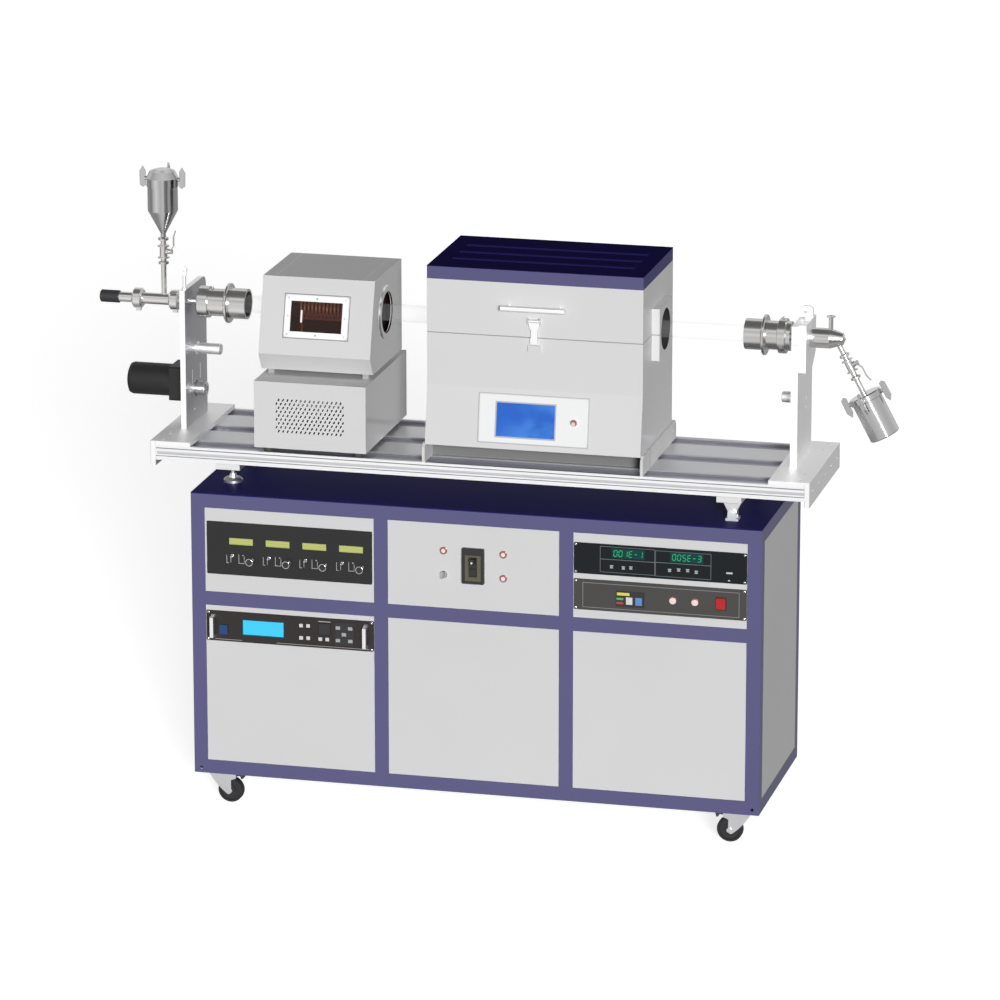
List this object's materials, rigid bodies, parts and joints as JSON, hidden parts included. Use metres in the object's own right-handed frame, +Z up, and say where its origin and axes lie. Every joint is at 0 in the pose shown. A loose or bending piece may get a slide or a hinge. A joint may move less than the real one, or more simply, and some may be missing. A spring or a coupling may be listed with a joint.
{
  "type": "rotary tube furnace",
  "caption": "Wheeled cabinet carrying a tilting platform with a split tube furnace, plasma box, rotating quartz tube, powder feed hopper and collection canister.",
  "frame": {"origin": "on the floor, under the middle of the cabinet", "axes": "+X along the tube from the feed hopper to the collection canister, +Y away from the operator, +Z up"},
  "size_m": [2.333, 0.5868, 1.8245],
  "materials": {
    "frame_blue": "satin enamel over welded steel tube",
    "panel_grey": "light grey powder coat, fine texture",
    "furnace_grey": "light grey powder coat, fine texture",
    "dark_face": "dark anodised face plate with printed legends",
    "black_face": "black face plate with display windows",
    "steel_plate": "machined plate, fine milling marks",
    "bright_steel": "polished stainless steel",
    "turned_steel": "turned stainless steel, fine rings",
    "aluminium_rail": "anodised extrusion, drawn lines",
    "zinc": "zinc-plated pressed steel",
    "black_rubber": "black rubber, scuffed",
    "black_plastic": "black moulded plastic",
    "grey_plastic": "grey moulded plastic",
    "red_plastic": "red moulded plastic",
    "lamp_set": "coloured lenses in bright bezels",
    "quartz": "clear fused quartz",
    "fibre": "white ceramic fibre board",
    "heater": "dark scaled heating rod",
    "window_glass": "dark tinted glass",
    "coil_copper": "bare copper tube",
    "motor_grey": "grey painted casting",
    "screen_panel": "touch screen in a grey steel plate"
  },
  "bodies": {
    "cabinet": {"cabinet_frame": "frame_blue", "cabinet_top": "frame_blue", "cabinet_panels": "panel_grey", "caster_plates": "zinc", "mass_flow_controller": "dark_face", "rf_generator": "black_face", "rf_handles": "bright_steel", "vacuum_gauge": "black_face", "pump_controller": "dark_face", "breaker_box": "grey_plastic", "pilot_lamps": "lamp_set", "tilt_brackets": "turned_steel"},
    "platform": {"platform_rails": "aluminium_rail", "end_plates": "steel_plate", "tube_uprights": "steel_plate", "support_feet": "turned_steel", "furnace_body": "furnace_grey", "furnace_plinth": "furnace_grey", "furnace_insulation": "fibre", "heating_elements": "heater", "control_panel": "screen_panel", "plasma_housing": "panel_grey", "window_frame": "zinc", "window_glass": "window_glass", "rf_coil": "coil_copper", "plasma_base": "panel_grey", "drive_motor": "motor_grey", "feed_pipe": "turned_steel", "feed_hopper": "bright_steel", "outlet_pipe": "turned_steel", "collection_canister": "bright_steel"},
    "lid": {"lid_shell": "furnace_grey", "lid_cover": "frame_blue", "lid_insulation": "fibre", "lid_handle": "aluminium_rail"},
    "rotary_tube": {"process_tube": "quartz", "tube_flanges": "turned_steel"},
    "motor_pulley": {"motor_pulley": "turned_steel"},
    "latch_lever": {"latch_lever": "bright_steel"},
    "furnace_button": {"furnace_button": "red_plastic"},
    "feed_valve_lever": {"feed_valve_lever": "bright_steel"},
    "collection_valve_lever": {"collection_valve_lever": "bright_steel"},
    "breaker_toggle": {"breaker_toggle": "black_plastic"},
    "key_switch": {"key_switch": "zinc"},
    "rf_rocker": {"rf_rocker": "black_plastic"},
    "pump_rocker": {"pump_rocker": "red_plastic"},
    "mfc_knob_1": {"mfc_knob_1": "black_plastic"},
    "mfc_knob_2": {"mfc_knob_2": "black_plastic"},
    "mfc_knob_3": {"mfc_knob_3": "black_plastic"},
    "mfc_knob_4": {"mfc_knob_4": "black_plastic"},
    "caster_fork_1": {"caster_fork_1": "zinc"},
    "caster_fork_2": {"caster_fork_2": "zinc"},
    "caster_fork_3": {"caster_fork_3": "zinc"},
    "caster_fork_4": {"caster_fork_4": "zinc"},
    "caster_wheel_1": {"caster_wheel_1": "black_rubber"},
    "caster_wheel_2": {"caster_wheel_2": "black_rubber"},
    "caster_wheel_3": {"caster_wheel_3": "black_rubber"},
    "caster_wheel_4": {"caster_wheel_4": "black_rubber"},
    "brake_pedal_left": {"brake_pedal_left": "black_plastic"},
    "brake_pedal_right": {"brake_pedal_right": "black_plastic"}
  },
  "joints": [
    {"name": "platform_tilt", "type": "hinge", "parent": "cabinet", "child": "platform", "pos_m": [0.728, 0, 0.959], "axis": [0, 1, 0], "range_deg": [0, 12]},
    {"name": "lid_hinge", "type": "hinge", "parent": "platform", "child": "lid", "pos_m": [0.163, 0.173, 1.435], "axis": [-1, 0, 0], "range_deg": [0, 75]},
    {"name": "latch_pivot", "type": "hinge", "parent": "lid", "child": "latch_lever", "pos_m": [0.163, -0.226, 1.484], "axis": [-1, 0, 0], "range_deg": [0, 100]},
    {"name": "tube_spin", "type": "hinge", "parent": "platform", "child": "rotary_tube", "pos_m": [0, -0.027, 1.435], "axis": [1, 0, 0], "continuous": true},
    {"name": "motor_pulley_spin", "type": "hinge", "parent": "platform", "child": "motor_pulley", "pos_m": [-0.885, 0.007, 1.168], "axis": [1, 0, 0], "continuous": true},
    {"name": "furnace_button_press", "type": "slide", "parent": "platform", "child": "furnace_button", "axis": [0, 0.9866, -0.163], "range_m": [0, 0.003], "stiffness_N_per_m": 300},
    {"name": "feed_valve_turn", "type": "hinge", "parent": "platform", "child": "feed_valve_lever", "pos_m": [-0.978, -0.027, 1.576], "axis": [1, 0, 0], "range_deg": [0, 90]},
    {"name": "collection_valve_turn", "type": "hinge", "parent": "platform", "child": "collection_valve_lever", "pos_m": [1.02333, -0.027, 1.35931], "axis": [0.8829, 0, 0.4695], "range_deg": [0, 90]},
    {"name": "breaker_switch", "type": "hinge", "parent": "cabinet", "child": "breaker_toggle", "pos_m": [0, -0.282, 0.7886], "axis": [1, 0, 0], "range_deg": [0, 40]},
    {"name": "key_turn", "type": "hinge", "parent": "cabinet", "child": "key_switch", "pos_m": [-0.087, -0.276, 0.7445], "axis": [0, 1, 0], "range_deg": [0, 90]},
    {"name": "rf_rocker_tip", "type": "hinge", "parent": "cabinet", "child": "rf_rocker", "pos_m": [-0.7373, -0.2775, 0.536], "axis": [1, 0, 0], "range_deg": [-8, 8]},
    {"name": "pump_rocker_tip", "type": "hinge", "parent": "cabinet", "child": "pump_rocker", "pos_m": [0.7145, -0.2775, 0.716], "axis": [1, 0, 0], "range_deg": [-8, 8]},
    {"name": "mfc_knob_turn_1", "type": "hinge", "parent": "cabinet", "child": "mfc_knob_1", "pos_m": [-0.65495, -0.28, 0.7446], "axis": [0, 1, 0], "range_deg": [-150, 150]},
    {"name": "mfc_knob_turn_2", "type": "hinge", "parent": "cabinet", "child": "mfc_knob_2", "pos_m": [-0.54665, -0.28, 0.7446], "axis": [0, 1, 0], "range_deg": [-150, 150]},
    {"name": "mfc_knob_turn_3", "type": "hinge", "parent": "cabinet", "child": "mfc_knob_3", "pos_m": [-0.43835, -0.28, 0.7446], "axis": [0, 1, 0], "range_deg": [-150, 150]},
    {"name": "mfc_knob_turn_4", "type": "hinge", "parent": "cabinet", "child": "mfc_knob_4", "pos_m": [-0.33005, -0.28, 0.7446], "axis": [0, 1, 0], "range_deg": [-150, 150]},
    {"name": "caster_swivel_1", "type": "hinge", "parent": "cabinet", "child": "caster_fork_1", "pos_m": [-0.761, -0.223, 0.09], "axis": [0, 0, 1], "continuous": true},
    {"name": "wheel_spin_1", "type": "hinge", "parent": "caster_fork_1", "child": "caster_wheel_1", "pos_m": [-0.737, -0.223, 0.0375], "axis": [0, 1, 0], "continuous": true},
    {"name": "brake_left", "type": "hinge", "parent": "caster_fork_1", "child": "brake_pedal_left", "pos_m": [-0.726, -0.223, 0.0827], "axis": [0, 1, 0], "range_deg": [0, 8]},
    {"name": "caster_swivel_2", "type": "hinge", "parent": "cabinet", "child": "caster_fork_2", "pos_m": [0.761, -0.223, 0.09], "axis": [0, 0, 1], "continuous": true},
    {"name": "wheel_spin_2", "type": "hinge", "parent": "caster_fork_2", "child": "caster_wheel_2", "pos_m": [0.737, -0.223, 0.0375], "axis": [0, 1, 0], "continuous": true},
    {"name": "brake_right", "type": "hinge", "parent": "caster_fork_2", "child": "brake_pedal_right", "pos_m": [0.726, -0.223, 0.0827], "axis": [0, -1, 0], "range_deg": [0, 8]},
    {"name": "caster_swivel_3", "type": "hinge", "parent": "cabinet", "child": "caster_fork_3", "pos_m": [-0.761, 0.223, 0.09], "axis": [0, 0, 1], "continuous": true},
    {"name": "wheel_spin_3", "type": "hinge", "parent": "caster_fork_3", "child": "caster_wheel_3", "pos_m": [-0.737, 0.223, 0.0375], "axis": [0, 1, 0], "continuous": true},
    {"name": "caster_swivel_4", "type": "hinge", "parent": "cabinet", "child": "caster_fork_4", "pos_m": [0.761, 0.223, 0.09], "axis": [0, 0, 1], "continuous": true},
    {"name": "wheel_spin_4", "type": "hinge", "parent": "caster_fork_4", "child": "caster_wheel_4", "pos_m": [0.737, 0.223, 0.0375], "axis": [0, 1, 0], "continuous": true}
  ],
  "couplings": [
    {"joint": "motor_pulley_spin", "follows": "tube_spin", "ratio": 2}
  ]
}
